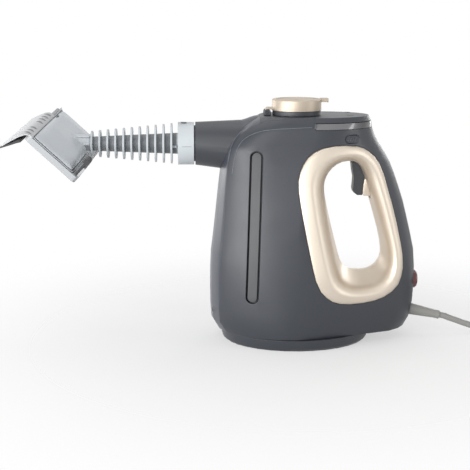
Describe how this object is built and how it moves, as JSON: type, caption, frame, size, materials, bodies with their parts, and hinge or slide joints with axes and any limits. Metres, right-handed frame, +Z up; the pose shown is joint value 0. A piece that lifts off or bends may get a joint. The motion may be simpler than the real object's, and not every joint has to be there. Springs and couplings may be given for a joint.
{
  "type": "handheld steam cleaner",
  "caption": "Handheld steam cleaner: slate grey body with a champagne handle ring and lid, finned nozzle attachment, window squeegee head and mains cord",
  "frame": {"origin": "centre of the foot's underside, on the surface that the cleaner stands on", "axes": "+Z up, +X towards the handle and the cord, -X towards the nozzle and the window head, -Y the side that the picture shows"},
  "size_m": [0.6479, 0.1632, 0.2406],
  "materials": {
    "body_slate": "satin slate grey with a fine grain",
    "dark_slate": "satin dark slate grey",
    "champagne_gold": "satin champagne metallic paint",
    "smoked_trim": "glossy smoked plastic",
    "light_grey": "satin cool light grey",
    "white_plastic": "satin white",
    "black_rubber": "matte black",
    "plain_steel": "plain steel",
    "brass": "machined",
    "aluminium": "die cast",
    "black_plastic": "moulded black",
    "red_silicone": "brick red silicone",
    "red_lens": "clear dark red",
    "grey_cord": "warm grey sheath"
  },
  "bodies": {
    "housing": {"base_foot": "body_slate", "boiler_bolt_1": "plain_steel", "boiler_bolt_2": "plain_steel", "boiler_bolt_3": "plain_steel", "boiler_gasket": "red_silicone", "boiler_lower": "aluminium", "boiler_stand": "black_plastic", "boiler_upper": "aluminium", "clamp_screw_1": "plain_steel", "clamp_screw_2": "plain_steel", "cord_clamp": "black_plastic", "cord_coil": "grey_cord", "cord_lead": "grey_cord", "cord_tail": "grey_cord", "filler_collar": "dark_slate", "filler_neck": "brass", "foot_pad_1": "black_rubber", "foot_pad_2": "black_rubber", "foot_pad_3": "black_rubber", "foot_pad_4": "black_rubber", "front_screw_far": "plain_steel", "front_screw_near": "plain_steel", "handle_trim_far": "champagne_gold", "handle_trim_near": "champagne_gold", "heater_plate": "plain_steel", "hinge_bracket": "dark_slate", "indicator_lens": "red_lens", "inlay_far": "dark_slate", "inlay_near": "dark_slate", "lid_hinge_pin": "plain_steel", "mains_plug": "grey_cord", "nozzle_housing": "dark_slate", "nozzle_spout": "brass", "plug_gasket": "red_silicone", "shell_far": "body_slate", "shell_near": "body_slate", "spine_cover": "body_slate", "spout_seal": "red_silicone", "steam_pipe": "plain_steel", "steam_valve_body": "brass", "strain_relief": "grey_cord", "terminal_block": "white_plastic", "thermal_fuse": "white_plastic", "thermostat": "black_plastic", "top_deck": "body_slate", "trigger_pin": "plain_steel", "trigger_spring": "plain_steel", "trim_band": "smoked_trim"},
    "lid": {"lid": "champagne_gold"},
    "pressure_plug": {"pressure_plug": "black_plastic"},
    "trigger": {"trigger": "dark_slate"},
    "valve_rod": {"valve_rod": "plain_steel"},
    "lock_bar": {"lock_bar": "dark_slate"},
    "attachment": {"attachment_neck": "light_grey"},
    "window_head": {"head_casing": "light_grey", "head_tray": "white_plastic", "squeegee_holder": "white_plastic", "squeegee_blade": "black_rubber", "wiper_strip_near": "black_rubber", "wiper_strip_far": "black_rubber"}
  },
  "joints": [
    {"name": "lid_hinge", "type": "hinge", "parent": "housing", "child": "lid", "pos_m": [-0.029, 0, 0.2276], "axis": [0, -1, 0], "range_deg": [0, 95]},
    {"name": "plug_turn", "type": "hinge", "parent": "housing", "child": "pressure_plug", "pos_m": [0, 0, 0.223], "axis": [0, 0, 1], "range_deg": [0, 90]},
    {"name": "trigger_pull", "type": "hinge", "parent": "housing", "child": "trigger", "pos_m": [0.07, 0, 0.185], "axis": [0, -1, 0], "range_deg": [0, 10], "stiffness_Nm_per_rad": 1.5},
    {"name": "valve_slide", "type": "slide", "parent": "housing", "child": "valve_rod", "axis": [-1, 0, 0], "range_m": [0, 0.0018]},
    {"name": "lock_slide", "type": "slide", "parent": "housing", "child": "lock_bar", "axis": [0, 1, 0], "range_m": [0, 0.003]},
    {"name": "attachment_twist", "type": "hinge", "parent": "housing", "child": "attachment", "pos_m": [-0.1007, 0, 0.1968], "axis": [1, 0, 0], "range_deg": [0, 35]},
    {"name": "head_turn", "type": "hinge", "parent": "attachment", "child": "window_head", "pos_m": [-0.2028, 0, 0.1968], "axis": [1, 0, 0], "range_deg": [-45, 45]}
  ],
  "couplings": [
    {"joint": "trigger_pull", "follows": "valve_slide", "rad_per_m": 95.238}
  ]
}
